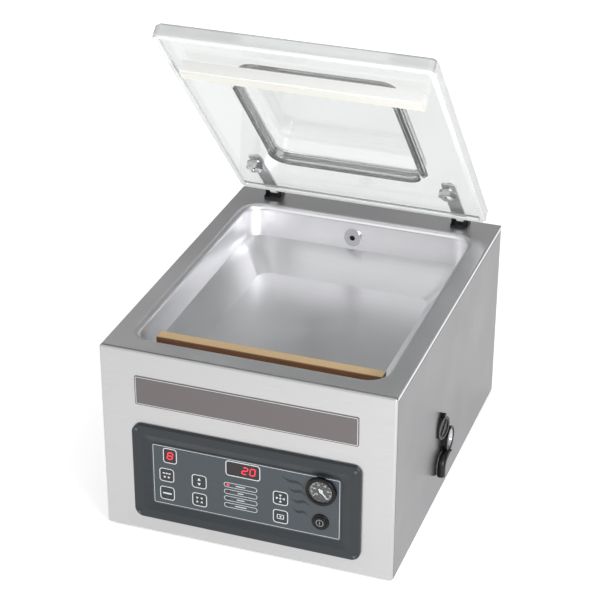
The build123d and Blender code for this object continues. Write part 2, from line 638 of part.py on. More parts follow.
with BuildPart() as counter_bar_silicone:
    with BuildSketch(LID.offset(COUNTER_BOTTOM)):
        with Locations((0, COUNTER_Y)):
            Rectangle(COUNTER_L, SILICONE_W)
    extrude(amount=SILICONE_DEPTH)
write(counter_bar_silicone, "counter_bar_silicone")

# hinge straps: flat on the lid, a narrow tongue and the knuckle behind it
STRAP_FRONT = lid_y(BOLT_Y) - 14.0
TONGUE_FRONT = lid_y(LID_REAR) + 2.0

with BuildPart() as hinge_straps:
    with BuildSketch(LID.offset(TOP)):
        with Locations((-HINGE_X, 0), (HINGE_X, 0)):
            with Locations((0, (STRAP_FRONT + TONGUE_FRONT) / 2)):
                RectangleRounded(STRAP_W, TONGUE_FRONT - STRAP_FRONT, 4)
            with Locations((0, TONGUE_FRONT / 2 - 2)):
                Rectangle(KNUCKLE_W, -TONGUE_FRONT + 4)
    extrude(amount=STRAP_T)
    with BuildSketch(Plane(origin=(-HINGE_X - KNUCKLE_W / 2, HINGE_Y, HINGE_Z), x_dir=(0, 1, 0),
                           z_dir=(1, 0, 0))):
        Circle(KNUCKLE_R)
    extrude(amount=KNUCKLE_W)
    with BuildSketch(Plane(origin=(HINGE_X - KNUCKLE_W / 2, HINGE_Y, HINGE_Z), x_dir=(0, 1, 0),
                           z_dir=(1, 0, 0))):
        Circle(KNUCKLE_R)
    extrude(amount=KNUCKLE_W)
    with Locations((0, HINGE_Y, HINGE_Z)):
        Cylinder(PIN_R + RUN_FIT, CASE_W, rotation=(0, 90, 0), mode=Mode.SUBTRACT)
    with BuildSketch(LID.offset(TOP)):
        with Locations((-HINGE_X, lid_y(BOLT_Y)), (HINGE_X, lid_y(BOLT_Y))):
            Circle(BOLT_R)
    extrude(amount=STRAP_T, mode=Mode.SUBTRACT)
write(hinge_straps, "hinge_straps")

BOLT_HEAD_H = 5.0
NUT_TOP = UNDER - WASHER_T

with BuildPart() as lid_bolts:
    with BuildSketch(LID.offset(NUT_TOP - NUT_H + 1)):
        with Locations((-HINGE_X, lid_y(BOLT_Y)), (HINGE_X, lid_y(BOLT_Y))):
            Circle(BOLT_R)
    extrude(amount=TOP + STRAP_T - NUT_TOP + NUT_H - 1)
    with BuildSketch(LID.offset(TOP + STRAP_T)):
        with Locations((-HINGE_X, lid_y(BOLT_Y)), (HINGE_X, lid_y(BOLT_Y))):
            Circle(7)
    extrude(amount=BOLT_HEAD_H)
    fillet(lid_bolts.faces().sort_by(LID_UP)[-2:].edges(), 2.5)
write(lid_bolts, "lid_bolts")

with BuildPart() as lid_cap_nuts:
    for x in (-HINGE_X, HINGE_X):
        with BuildSketch(LID.offset(NUT_TOP)):
            with Locations((x, lid_y(BOLT_Y))):
                Circle(NUT_AF / 2 + 2)
        extrude(amount=WASHER_T)
        with BuildSketch(LID.offset(NUT_TOP - NUT_H)):
            with Locations((x, lid_y(BOLT_Y))):
                RegularPolygon(NUT_AF / 2, 6, major_radius=False)
        extrude(amount=NUT_H)
        cap = Plane(origin=LID.from_local_coords((x, lid_y(BOLT_Y), NUT_TOP - NUT_H)), z_dir=LID.z_dir)
        with Locations(cap):
            Sphere(NUT_AF / 2 - 1, arc_size1=-90, arc_size2=0)
    with BuildSketch(LID.offset(NUT_TOP - NUT_H + 1)):
        with Locations((-HINGE_X, lid_y(BOLT_Y)), (HINGE_X, lid_y(BOLT_Y))):
            Circle(BOLT_R)
    extrude(amount=NUT_H + WASHER_T, mode=Mode.SUBTRACT)
write(lid_cap_nuts, "lid_cap_nuts")

# ================================================================ hinge blocks on the deck
BLOCK_FRONT = LID_REAR + 3.0
BLOCK_REAR = HINGE_Y + 14.0
EAR_R = 8.5
BLOCK_FLANGE_H = 4.0
SPRING_R = PIN_R + 0.4 + SPRING_WIRE / 2

with BuildPart() as hinge_blocks:
    for x in (-HINGE_X, HINGE_X):
        with BuildSketch(Plane.XY.offset(DECK_Z)):
            with Locations((x, (BLOCK_FRONT + BLOCK_REAR) / 2)):
                RectangleRounded(BLOCK_W, BLOCK_REAR - BLOCK_FRONT, 4)
        extrude(amount=BLOCK_FLANGE_H)
        for ear in (x - BLOCK_W / 2, x + BLOCK_W / 2 - EAR_W):
            with BuildSketch(Plane.YZ.offset(ear)):
                with Locations((HINGE_Y, HINGE_Z)):
                    Circle(EAR_R)
                with Locations((HINGE_Y, DECK_Z + 1)):
                    Rectangle(2 * EAR_R - 3, HINGE_Z - DECK_Z - 1, align=(Align.CENTER, Align.MIN))
            extrude(amount=EAR_W)
    with Locations((0, HINGE_Y, HINGE_Z)):
        Cylinder(PIN_R, CASE_W, rotation=(0, 90, 0), mode=Mode.SUBTRACT)
write(hinge_blocks, "hinge_blocks")

with BuildPart() as hinge_pins:
    with Locations((-HINGE_X, HINGE_Y, HINGE_Z), (HINGE_X, HINGE_Y, HINGE_Z)):
        Cylinder(PIN_R, BLOCK_W, rotation=(0, 90, 0))
write(hinge_pins, "hinge_pins")

with BuildPart() as hinge_springs:
    for x in (-HINGE_X, HINGE_X):
        for side in (-1, 1):
            middle = x + side * (KNUCKLE_W / 2 + BLOCK_W / 2 - EAR_W) / 2
            coil = Helix(SPRING_PITCH, SPRING_PITCH * SPRING_TURNS, SPRING_R, direction=(1, 0, 0),
                         center=(middle - SPRING_PITCH * SPRING_TURNS / 2, HINGE_Y, HINGE_Z))
            with BuildSketch(Plane(origin=coil @ 0, z_dir=coil % 0)):
                Circle(SPRING_WIRE / 2)
            sweep(path=coil, is_frenet=True)
write(hinge_springs, "hinge_springs")

# ================================================================ label and control panel
LABEL_R = 3.0
CAP_R = KEY / 6
KEY_FACE = OVERLAY_FACE - 0.5
KEY_BACK = FRONT_Y + 0.1                  # a key's flange sits behind the bezel's floor
KEY_FLANGE_T = 1.0

with BuildPart() as label_plate:
    with BuildSketch(front_plane(FRONT_Y)):
        with Locations((0, LABEL_Z)):
            RectangleRounded(LABEL_W, LABEL_H, LABEL_R)
    extrude(amount=LABEL_T)
write(label_plate, "label_plate")


def panel_openings():
    """Cuts for keys, windows, lenses, gauge and switch, in the sketch in hand."""
    for x in KEY_X:
        for z in KEY_Z:
            with Locations((x, z)):
                RectangleRounded(KEY + 2 * KEY_FIT, KEY + 2 * KEY_FIT, CAP_R + KEY_FIT, mode=Mode.SUBTRACT)
    with Locations((PROGRAM_X, DISPLAY_Z)):
        Rectangle(PROGRAM_W + 2 * KEY_FIT, PROGRAM_H + 2 * KEY_FIT, mode=Mode.SUBTRACT)
    with Locations((VALUE_X, DISPLAY_Z)):
        Rectangle(VALUE_W + 2 * KEY_FIT, VALUE_H + 2 * KEY_FIT, mode=Mode.SUBTRACT)
    for step in range(4):
        with Locations((LED_X, LED_TOP_Z - step * LED_PITCH)):
            Circle(LED_R + KEY_FIT, mode=Mode.SUBTRACT)
    with Locations((GAUGE_X, GAUGE_Z)):
        Circle(GAUGE_BODY_R, mode=Mode.SUBTRACT)
    with Locations((BUTTON_X, BUTTON_Z)):
        Circle(BARREL_R, mode=Mode.SUBTRACT)


GAUGE_BODY_R = GAUGE_R - 3.3
BARREL_R = BUTTON_R - 1.3

with BuildPart() as control_bezel:
    with BuildSketch(front_plane(FRONT_Y)):
        with Locations((0, BEZEL_Z)):
            RectangleRounded(BEZEL_W, BEZEL_H, BEZEL_R)
    extrude(amount=BEZEL_T)
    fillet(control_bezel.faces().sort_by(Axis.Y)[0].edges(), 1.5)
    with BuildSketch(front_plane(FRONT_Y - BEZEL_T)) as rim:
        with Locations((0, BEZEL_Z)):
            RectangleRounded(RECESS_W, RECESS_H, OVERLAY_R)
    with BuildSketch(front_plane(PANEL_FACE)) as floor:
        with Locations((0, BEZEL_Z)):
            RectangleRounded(OVERLAY_W + 2, OVERLAY_H + 3, OVERLAY_R)
    loft([floor.sketch.faces()[0], rim.sketch.faces()[0]], mode=Mode.SUBTRACT)
    with BuildSketch(front_plane(FRONT_Y)):
        with Locations((0, BEZEL_Z)):
            Rectangle(BEZEL_W, BEZEL_H)
        panel_openings()
        with Locations((0, BEZEL_Z)):
            with GridLocations(2 * BEZEL_SCREW_X, 2 * BEZEL_SCREW_Z, 2, 2):
                Circle(BEZEL_SCREW_R, mode=Mode.SUBTRACT)
    extrude(amount=BEZEL_T, mode=Mode.INTERSECT)
write(control_bezel, "control_bezel")

with BuildPart() as membrane_overlay:
    with BuildSketch(front_plane(PANEL_FACE)):
        with Locations((0, BEZEL_Z)):
            RectangleRounded(OVERLAY_W, OVERLAY_H, OVERLAY_R - 1)
        panel_openings()
    extrude(amount=OVERLAY_T)
write(membrane_overlay, "membrane_overlay")

with BuildPart() as bezel_screws:
    with BuildSketch(front_plane(FRONT_Y - BEZEL_T)):
        with Locations((0, BEZEL_Z)):
            with GridLocations(2 * BEZEL_SCREW_X, 2 * BEZEL_SCREW_Z, 2, 2):
                Circle(2 * BEZEL_SCREW_R)
    extrude(amount=1.2)
    fillet(bezel_screws.faces().group_by(Axis.Y)[0].edges(), 0.8)
    with BuildSketch(front_plane(FRONT_Y - BEZEL_T)):
        with Locations((0, BEZEL_Z)):
            with GridLocations(2 * BEZEL_SCREW_X, 2 * BEZEL_SCREW_Z, 2, 2):
                Circle(BEZEL_SCREW_R)
    extrude(amount=-(BEZEL_T + SHEET + 2))
write(bezel_screws, "bezel_screws")

for name, x, width, height in (("program_display", PROGRAM_X, PROGRAM_W, PROGRAM_H),
                               ("value_display", VALUE_X, VALUE_W, VALUE_H)):
    with BuildPart() as display:
        with BuildSketch(front_plane(BOARD_Y)):
            with Locations((x, DISPLAY_Z)):
                Rectangle(width, height)
        extrude(amount=BOARD_Y - OVERLAY_FACE - 0.2)
    write(display, name)

with BuildPart() as led_lenses:
    with BuildSketch(front_plane(BOARD_Y)):
        for step in range(4):
            with Locations((LED_X, LED_TOP_Z - step * LED_PITCH)):
                Circle(LED_R)
    extrude(amount=BOARD_Y - OVERLAY_FACE + 0.6)
    fillet(led_lenses.faces().group_by(Axis.Y)[0].edges(), 0.5)
write(led_lenses, "led_lenses")

number = 0
for x in KEY_X:
    for z in KEY_Z:
        number += 1
        with BuildPart() as key:
            with BuildSketch(front_plane(KEY_BACK)):
                with Locations((x, z)):
                    RectangleRounded(KEY, KEY, CAP_R)
            extrude(amount=KEY_BACK - KEY_FACE)
            fillet(key.faces().sort_by(Axis.Y)[0].edges(), 0.4)
            with BuildSketch(front_plane(KEY_BACK)):
                with Locations((x, z)):
                    RectangleRounded(KEY + 3, KEY + 3, CAP_R)
            extrude(amount=-KEY_FLANGE_T)
        write(key, f"key_{number}")

SWITCH_TOP = KEY_BACK + KEY_FLANGE_T + KEY_STROKE + 0.2
STANDOFF_R, STANDOFF_IN = 3.0, 4.0

with BuildPart() as control_board:
    with BuildSketch(front_plane(BOARD_Y)):
        with Locations((BOARD_X, BOARD_Z)):
            RectangleRounded(BOARD_W, BOARD_H, 2)
    extrude(amount=-BOARD_T)
    with BuildSketch(front_plane(BOARD_Y)):
        with Locations((BOARD_X, BOARD_Z)):
            with GridLocations(BOARD_W - 2 * STANDOFF_IN, BOARD_H - 2 * STANDOFF_IN, 2, 2):
                Circle(STANDOFF_R)
    extrude(amount=BOARD_Y - FRONT_Y - SHEET)
    with BuildSketch(front_plane(BOARD_Y)):
        for x in KEY_X:
            for z in KEY_Z:
                with Locations((x, z)):
                    Rectangle(6, 6)
    extrude(amount=BOARD_Y - SWITCH_TOP)
    with BuildSketch(front_plane(BOARD_Y + BOARD_T)):
        with Locations((BOARD_X - 20, BOARD_Z + 20)):
            with GridLocations(50, 0, 3, 1):
                Rectangle(28, 18)
        with Locations((BOARD_X + 80, BOARD_Z - 20)):
            Rectangle(50, 36)
    extrude(amount=-16)
write(control_board, "control_board")

# ================================================================ vacuum gauge
GAUGE_FACE = OVERLAY_FACE - 5.7
GAUGE_BACK = FRONT_Y + 28.0
DIAL_Y = OVERLAY_FACE - 0.7
NEEDLE_Y = DIAL_Y - 1.4
NEEDLE_L, NEEDLE_TAIL, NEEDLE_W, NEEDLE_TIP, NEEDLE_DEG = 15.0, 5.0, 2.8, 1.0, -50.0
HUB_R, SPINDLE_R = 2.6, 0.8

with BuildPart() as gauge_body:
    with BuildSketch(front_plane(GAUGE_BACK)):
        with Locations((GAUGE_X, GAUGE_Z)):
            Circle(GAUGE_BODY_R)
    extrude(amount=GAUGE_BACK - GAUGE_FACE - 2)
    with BuildSketch(front_plane(DIAL_Y + 0.8)):
        with Locations((GAUGE_X, GAUGE_Z)):
            Circle(DIAL_R)
    extrude(amount=20, mode=Mode.SUBTRACT)
    with Locations((GAUGE_X, GAUGE_BACK, GAUGE_Z)):
        Cylinder(5, 14, rotation=(-90, 0, 0), align=(Align.CENTER, Align.CENTER, Align.MIN))
write(gauge_body, "gauge_body")

with BuildPart() as gauge_dial:
    with BuildSketch(front_plane(DIAL_Y + 0.8)):
        with Locations((GAUGE_X, GAUGE_Z)):
            Circle(DIAL_R)
    extrude(amount=0.8)
    with BuildSketch(front_plane(DIAL_Y)):
        with Locations((GAUGE_X, GAUGE_Z)):
            Circle(SPINDLE_R)
    extrude(amount=2.0)
write(gauge_dial, "gauge_dial")

needle_face = front_plane(NEEDLE_Y)
with BuildPart() as gauge_needle:
    with BuildSketch(needle_face):
        with Locations(Location((GAUGE_X, GAUGE_Z), NEEDLE_DEG)):
            Polygon((-NEEDLE_TAIL, -NEEDLE_W / 2), (NEEDLE_L - 1, -NEEDLE_TIP / 2), (NEEDLE_L, 0),
                    (NEEDLE_L - 1, NEEDLE_TIP / 2), (-NEEDLE_TAIL, NEEDLE_W / 2), align=None)
            Circle(HUB_R)
            Circle(SPINDLE_R + RUN_FIT, mode=Mode.SUBTRACT)
    extrude(amount=0.5)
    with BuildSketch(front_plane(NEEDLE_Y + 1.0)):
        with Locations((GAUGE_X, GAUGE_Z)):
            Circle(HUB_R)
            Circle(SPINDLE_R + RUN_FIT, mode=Mode.SUBTRACT)
    extrude(amount=1.0)
write(gauge_needle, "gauge_needle")

with BuildPart() as gauge_lens:
    with BuildSketch(front_plane(GAUGE_FACE + 2)):
        with Locations((GAUGE_X, GAUGE_Z)):
            Circle(GAUGE_BODY_R)
    extrude(amount=1)
write(gauge_lens, "gauge_lens")

with BuildPart() as gauge_bezel:
    with BuildSketch(front_plane(OVERLAY_FACE)):
        with Locations((GAUGE_X, GAUGE_Z)):
            Circle(GAUGE_R)
    extrude(amount=OVERLAY_FACE - GAUGE_FACE)
    fillet(gauge_bezel.faces().sort_by(Axis.Y)[0].edges(), 2)
    with BuildSketch(front_plane(OVERLAY_FACE)):
        with Locations((GAUGE_X, GAUGE_Z)):
            Circle(DIAL_R - 0.7)
    extrude(amount=OVERLAY_FACE - GAUGE_FACE, mode=Mode.SUBTRACT)
    with BuildSketch(front_plane(OVERLAY_FACE)):
        with Locations((GAUGE_X, GAUGE_Z)):
            Circle(GAUGE_BODY_R)
    extrude(amount=OVERLAY_FACE - GAUGE_FACE - 1, mode=Mode.SUBTRACT)
write(gauge_bezel, "gauge_bezel")

# ================================================================ on and off switch
SWITCH_FACE = OVERLAY_FACE - 2.5
SWITCH_BACK = FRONT_Y + 26.0
BUTTON_BORE = BUTTON_R - 3.0
BUTTON_L = 16.0

with BuildPart() as power_switch:
    with BuildSketch(front_plane(OVERLAY_FACE)):
        with Locations((BUTTON_X, BUTTON_Z)):
            Circle(BUTTON_R)
    extrude(amount=OVERLAY_FACE - SWITCH_FACE)
    fillet(power_switch.faces().sort_by(Axis.Y)[0].edges(), 1.2)
    with BuildSketch(front_plane(OVERLAY_FACE)):
        with Locations((BUTTON_X, BUTTON_Z)):
            Circle(BARREL_R)
    extrude(amount=OVERLAY_FACE - SWITCH_BACK)
    with BuildSketch(front_plane(FRONT_Y + SHEET)):
        with Locations((BUTTON_X, BUTTON_Z)):
            RegularPolygon(BUTTON_R + 3.5, 6)
    extrude(amount=-4)
    with BuildSketch(front_plane(SWITCH_FACE)):
        with Locations((BUTTON_X, BUTTON_Z)):
            Circle(BUTTON_BORE)
    extrude(amount=-(BUTTON_L - 1.5 + BUTTON_STROKE + 1), mode=Mode.SUBTRACT)
write(power_switch, "power_switch")

with BuildPart() as power_button:
    with BuildSketch(front_plane(SWITCH_FACE - 1.5)):
        with Locations((BUTTON_X, BUTTON_Z)):
            Circle(BUTTON_BORE - RUN_FIT)
    extrude(amount=-BUTTON_L)
    fillet(power_button.faces().sort_by(Axis.Y)[0].edges(), 1.2)
write(power_button, "power_button")

# ================================================================ casing screws
with BuildPart() as casing_screws:
    with BuildSketch(Plane.XY.offset(BASE_Z - SHEET - 2)):
        with GridLocations(2 * CASE_SCREW_X, CASE_SCREW_PITCH, 2, 2):
            Circle(2 * CASE_SCREW_R)
    extrude(amount=2)
    with BuildSketch(Plane.XY.offset(BASE_Z - SHEET)):
        with GridLocations(2 * CASE_SCREW_X, CASE_SCREW_PITCH, 2, 2):
            Circle(CASE_SCREW_R)
    extrude(amount=SHEET + BASE_T + 3)
write(casing_screws, "casing_screws")

# ================================================================ mains inlet on the right side
CUP_R, CUP_T, CUP_DISH, CUP_RIM = 18.5, 8.0, 4.0, 1.5
COLLAR_T, COLLAR_RISE = 2.4, 1.5
INLET_CAP_R, INLET_CAP_T, INLET_CAP_TILT = 18.5, 3.0, 10.0
INLET_CAP_Y, INLET_CAP_Z = INLET_Y - 29.0, INLET_Z + 36.5
CAP_LEAN = math.radians(INLET_CAP_TILT)
CAP_FACE = Plane(origin=(SIDE_X + INLET_CAP_T + INLET_CAP_R * math.tan(CAP_LEAN), INLET_CAP_Y, INLET_CAP_Z),
                 x_dir=(math.sin(CAP_LEAN), math.cos(CAP_LEAN), 0),
                 z_dir=(math.cos(CAP_LEAN), -math.sin(CAP_LEAN), 0))
BOOT_R = 6.5
BOOT_BEND = 14.0
BOOT_X = SIDE_X + BOOT_R + 0.5
BOOT_TOP = INLET_Z - CUP_R + 3.0
BOOT_Y = INLET_Y - 39.0
BOOT_END = 45.0
BOOT_BORE = 8.0

with BuildPart() as inlet_cup:
    with BuildSketch(Plane.YZ.offset(SIDE_X)):
        with Locations((INLET_Y, INLET_Z)):
            Circle(CUP_R)
    extrude(amount=CUP_T)
    with BuildSketch(Plane.YZ.offset(SIDE_X + CUP_T)):
        with Locations((INLET_Y, INLET_Z)):
            Circle(CUP_R - CUP_RIM)
    extrude(amount=-CUP_DISH, taper=30, mode=Mode.SUBTRACT)
    with BuildSketch(Plane.YZ.offset(SIDE_X)):
        with Locations((INLET_Y, INLET_Z)):
            Circle(INLET_NECK)
    extrude(amount=-14)
write(inlet_cup, "inlet_cup")

with BuildPart() as inlet_cap:
    with BuildSketch(Plane.YZ.offset(SIDE_X)):
        with Locations((INLET_CAP_Y, INLET_CAP_Z)):
            Circle(INLET_CAP_R)
        with Locations((INLET_CAP_Y + 3, INLET_CAP_Z + INLET_CAP_R + 1)):
            Rectangle(5, 8)
    extrude(amount=INLET_CAP_R)
    split(bisect_by=CAP_FACE, keep=Keep.BOTTOM)
    with BuildSketch(CAP_FACE):
        Circle(INLET_CAP_R - 4)
        Rectangle(2 * INLET_CAP_R, 3.5, rotation=50, mode=Mode.SUBTRACT)
    extrude(amount=-1.2, mode=Mode.SUBTRACT)
write(inlet_cap, "inlet_cap")

with BuildPart() as inlet_boot:
    with BuildLine() as boot_line:
        FilletPolyline((BOOT_X, INLET_Y, BOOT_TOP), (BOOT_X, BOOT_Y, BOOT_TOP - 2),
                       (BOOT_X, BOOT_Y, BOOT_END), radius=BOOT_BEND)
    with BuildSketch(Plane(origin=boot_line.line @ 0, z_dir=boot_line.line % 0)):
        Circle(BOOT_R)
    sweep()
    with BuildSketch(Plane.YZ.offset(SIDE_X)):
        with Locations((INLET_Y, INLET_Z)):
            Circle(CUP_R + COLLAR_T)
    extrude(amount=CUP_T + COLLAR_RISE)
    with BuildSketch(Plane.YZ.offset(SIDE_X)):
        with Locations((INLET_Y, INLET_Z)):
            Circle(CUP_R + RUN_FIT)
    extrude(amount=2 * CUP_T, mode=Mode.SUBTRACT)
    with BuildSketch(Plane.XY.offset(BOOT_END)):
        with Locations((BOOT_X, BOOT_Y)):
            Circle(BOOT_R / 2)
    extrude(amount=BOOT_BORE, mode=Mode.SUBTRACT)
write(inlet_boot, "inlet_boot")
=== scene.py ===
"""Tabletop chamber vacuum packing machine: the looks of each piece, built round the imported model."""
import math

import bmesh
import bpy
from mathutils import Matrix, Vector


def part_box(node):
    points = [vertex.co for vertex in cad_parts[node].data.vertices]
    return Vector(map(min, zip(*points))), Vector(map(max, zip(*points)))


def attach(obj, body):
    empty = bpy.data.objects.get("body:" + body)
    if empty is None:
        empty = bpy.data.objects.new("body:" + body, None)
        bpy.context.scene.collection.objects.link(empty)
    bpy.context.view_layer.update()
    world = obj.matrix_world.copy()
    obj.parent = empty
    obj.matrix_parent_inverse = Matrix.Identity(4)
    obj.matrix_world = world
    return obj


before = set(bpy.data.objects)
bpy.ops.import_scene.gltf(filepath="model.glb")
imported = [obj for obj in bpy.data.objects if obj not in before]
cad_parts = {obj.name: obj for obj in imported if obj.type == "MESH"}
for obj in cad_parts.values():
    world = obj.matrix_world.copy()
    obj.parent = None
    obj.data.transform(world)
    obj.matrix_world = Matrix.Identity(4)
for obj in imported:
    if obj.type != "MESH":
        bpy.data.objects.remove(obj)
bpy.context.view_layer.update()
MM = 0.001

# ---- Casing -------------------------------------------------------------------
# Four panels and a base plate of 1.5 to 2 mm stainless sheet, folded at their
# edges. The sheet comes belt-polished, so fine lines run level along each panel.
# The side sheets are the same steel as the front, given a darker colour as painted shade.


def linear(hex_colour):
    """sRGB hex such as "C8C8C6" as a linear colour with alpha."""
    parts = [int(hex_colour[i:i + 2], 16) / 255 for i in (0, 2, 4)]
    return tuple(p / 12.92 if p <= 0.04045 else ((p + 0.055) / 1.055) ** 2.4 for p in parts) + (1.0,)


def add(material, kind, sockets=None, **settings):
    """Adds a node: settings are its properties, sockets its inputs as values or links."""
    tree = material.node_tree
    made = tree.nodes.new("ShaderNode" + kind)
    for name, value in settings.items():
        setattr(made, name, value)
    for key, value in (sockets or {}).items():
        if isinstance(value, bpy.types.NodeSocket):
            tree.links.new(value, made.inputs[key])
        else:
            made.inputs[key].default_value = value
    return made


def finish_of(name, sockets):
    """A new material with a Principled shader that has these sockets set."""
    material = bpy.data.materials.new(name)
    material.use_nodes = True
    shader = material.node_tree.nodes["Principled BSDF"]
    for key, value in sockets.items():
        shader.inputs[key].default_value = value
    return material, shader


def link(material, output, target):
    material.node_tree.links.new(output, target)


def streaks(material, along, across, stretch):
    """Noise drawn out along one axis: across and along are line spacings in metres."""
    place = add(material, "TexCoord").outputs["Object"]
    scale = [1 / along if axis == stretch else 1 / across for axis in "XYZ"]
    turned = add(material, "Mapping", {"Vector": place, "Scale": scale})
    return add(material, "TexNoise", {"Vector": turned.outputs[0], "Scale": 1.0, "Detail": 3.0,
                                      "Roughness": 0.6}).outputs["Fac"]


def between(material, factor, low, high):
    """A factor of about 0.3 to 0.7 spread over low to high."""
    return add(material, "MapRange", {"Value": factor, "From Min": 0.3, "From Max": 0.7,
                                      "To Min": low, "To Max": high}).outputs["Result"]


def blended(material, factor, dark, light):
    """Colour from dark to light, both sRGB hex, by a factor of about 0.3 to 0.7."""
    share = between(material, factor, 0.0, 1.0)
    return add(material, "Mix", {0: share, 6: linear(dark), 7: linear(light)}, data_type="RGBA").outputs[2]


def bumped(material, shader, height, distance, strength=1.0):
    bump = add(material, "Bump", {"Height": height, "Distance": distance, "Strength": strength})
    link(material, bump.outputs["Normal"], shader.inputs["Normal"])


def wear(node_name, material):
    """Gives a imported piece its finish."""
    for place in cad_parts[node_name].material_slots:
        place.material = material


def brushed_steel(name, stretch, dark, light, rough=0.30):
    """Belt-polished stainless: lines 0.5 mm apart, coarser than real ones so that they show."""
    material, shader = finish_of(name, {"Metallic": 1.0, "Anisotropic": 0.4})
    lines = streaks(material, 0.090, 0.0005, stretch)
    cloud = add(material, "TexNoise", {"Vector": add(material, "TexCoord").outputs["Object"],
                                       "Scale": 9.0, "Detail": 2.0}).outputs["Fac"]
    link(material, blended(material, lines, dark, light), shader.inputs["Base Color"])
    rough = add(material, "Math", {0: between(material, lines, rough - 0.02, rough + 0.02),
                                   1: between(material, cloud, -0.02, 0.02)}, operation="ADD")
    link(material, rough.outputs[0], shader.inputs["Roughness"])
    bumped(material, shader, lines, 0.00002, 0.35)
    return material


steel_across = brushed_steel("stainless_brushed_across", "X", "B6B6B6", "BFBFBF")
# Side sheets: their darker colour is painted shade, not a different steel.
steel_sides_painted_shade = brushed_steel("stainless_brushed_lengthways_painted_shade", "Y", "7C7C7E", "848486")
wear("front_panel", steel_across)
wear("rear_panel", steel_across)
wear("base_plate", steel_across)
wear("left_side_panel", steel_sides_painted_shade)
wear("right_side_panel", steel_sides_painted_shade)

# ---- Deck and chamber ---------------------------------------------------------
# One deep-drawn stainless sheet: the deck, the rolled lip and the tub. Drawing
# and a satin finish leave it smoother than the panels, with soft cloudy gloss.
drawn_steel = brushed_steel("stainless_drawn_satin", "X", "E4E4E6", "EBEBED", 0.33)
wear("chamber_deck", drawn_steel)

# ---- Screws, nuts and turned fittings -----------------------------------------
# Polished stainless: screws, cap nuts, bolts, pins, suction port, plungers and the
# cup on the side. Strips, springs and cylinders have the finish of their own metal.


def polished(name, colour, rough):
    """Polished metal with faint polishing clouds a few millimetres across."""
    material, shader = finish_of(name, {"Metallic": 1.0, "Base Color": linear(colour)})
    cloud = add(material, "TexNoise", {"Vector": add(material, "TexCoord").outputs["Object"],
                                       "Scale": 260.0, "Detail": 2.0}).outputs["Fac"]
    link(material, between(material, cloud, rough * 0.7, rough * 1.4), shader.inputs["Roughness"])
    return material


polished_steel = polished("stainless_polished", "BEBEC0", 0.12)
for name in ("casing_screws", "suction_port", "seal_bar_plungers", "lid_bolts",
             "lid_cap_nuts", "hinge_pins", "inlet_cup"):
    wear(name, polished_steel)
wear("bezel_screws", polished("steel_black_nickel", "5A5B5E", 0.22))
wear("heater_strips", polished("nichrome_strip", "A8A29A", 0.35))
wear("hinge_springs", polished("spring_steel_oiled", "6E6E70", 0.30))
wear("lift_cylinders", polished("aluminium_anodised", "A9ABAD", 0.38))
wear("valve_block", polished("aluminium_machined", "B4B6B8", 0.30))
wear("port_elbow", polished("brass_nickel_plated", "6C6862", 0.32))

# ---- Moulded black pieces -----------------------------------------------------
# Glass-filled nylon and ABS: hinge blocks, gauge case, inlet and caps with the fine
# grain of the mould, and a polished switch and gauge ring. The straps are painted.


def moulded(name, colour, rough, grain, depth, sheen=0.5):
    """Moulded plastic with a grain of that size and depth in metres."""
    material, shader = finish_of(name, {"Base Color": linear(colour), "IOR": 1.5,
                                        "Specular IOR Level": sheen})
    place = add(material, "TexCoord").outputs["Object"]
    pits = add(material, "TexNoise", {"Vector": place, "Scale": 1 / grain, "Detail": 2.0}).outputs["Fac"]
    cloud = add(material, "TexNoise", {"Vector": place, "Scale": 25.0, "Detail": 2.0}).outputs["Fac"]
    link(material, between(material, cloud, rough - 0.05, rough + 0.05), shader.inputs["Roughness"])
    bumped(material, shader, pits, depth)
    return material


black_moulding = moulded("nylon_black_moulded", "0F1011", 0.34, 0.0006, 0.00003, 0.35)
for name in ("hinge_blocks", "gauge_body", "inlet_cap", "inlet_boot", "oil_filler_cap",
             "solenoid_coils", "motor_fan"):
    wear(name, black_moulding)
black_gloss = moulded("abs_black_polished", "060707", 0.17, 0.0020, 0.000004, 0.25)
for name in ("power_switch", "power_button", "gauge_bezel"):
    wear(name, black_gloss)

wear("hinge_straps", moulded("powder_coat_light_grey", "F4F5F5", 0.45, 0.0008, 0.00002))

# ---- Feet, mounts, hose and lid seal ------------------------------------------
# Rubber mixes: black for feet, pump mounts and hose, white silicone sponge for the
# lid's seal. All are dull, with a fine grain.
black_rubber = moulded("rubber_black", "17181A", 0.75, 0.0008, 0.00004, 0.3)
for name in ("feet", "pump_mounts", "vacuum_hose"):
    wear(name, black_rubber)
wear("lid_gasket", moulded("silicone_sponge_white", "E6E8E6", 0.6, 0.0009, 0.00005, 0.4))

# ---- Pump, motor and transformer ----------------------------------------------
# Cast aluminium pump, painted finned motor with a sheet cover, and a lacquered
# transformer core. Sand casting leaves a coarse skin, the paint softens it.
wear("vacuum_pump", moulded("aluminium_cast", "8E9396", 0.55, 0.0018, 0.00012))
wear("pump_motor", moulded("paint_blue_on_cast", "2F4358", 0.40, 0.0015, 0.00006))
wear("fan_cover", moulded("paint_black_on_sheet", "232426", 0.38, 0.0020, 0.00004))
wear("transformer", moulded("lacquered_laminations", "2B2724", 0.50, 0.0006, 0.00006))
wear("control_board", moulded("board_green_lacquer", "1D5A38", 0.30, 0.0015, 0.00002))

# ---- Seal bar -----------------------------------------------------------------
# A bar of brown phenolic laminate that carries two heater strips under a band of
# PTFE-coated glass cloth, whose weave shows as a fine tan mesh.
phenolic, phenolic_shader = finish_of("phenolic_laminate", {"Roughness": 0.45, "IOR": 1.55})
layers = streaks(phenolic, 0.06, 0.0008, "X")
link(phenolic, blended(phenolic, layers, "5E3B22", "7A5232"), phenolic_shader.inputs["Base Color"])
bumped(phenolic, phenolic_shader, layers, 0.00003)
wear("seal_bar_body", phenolic)

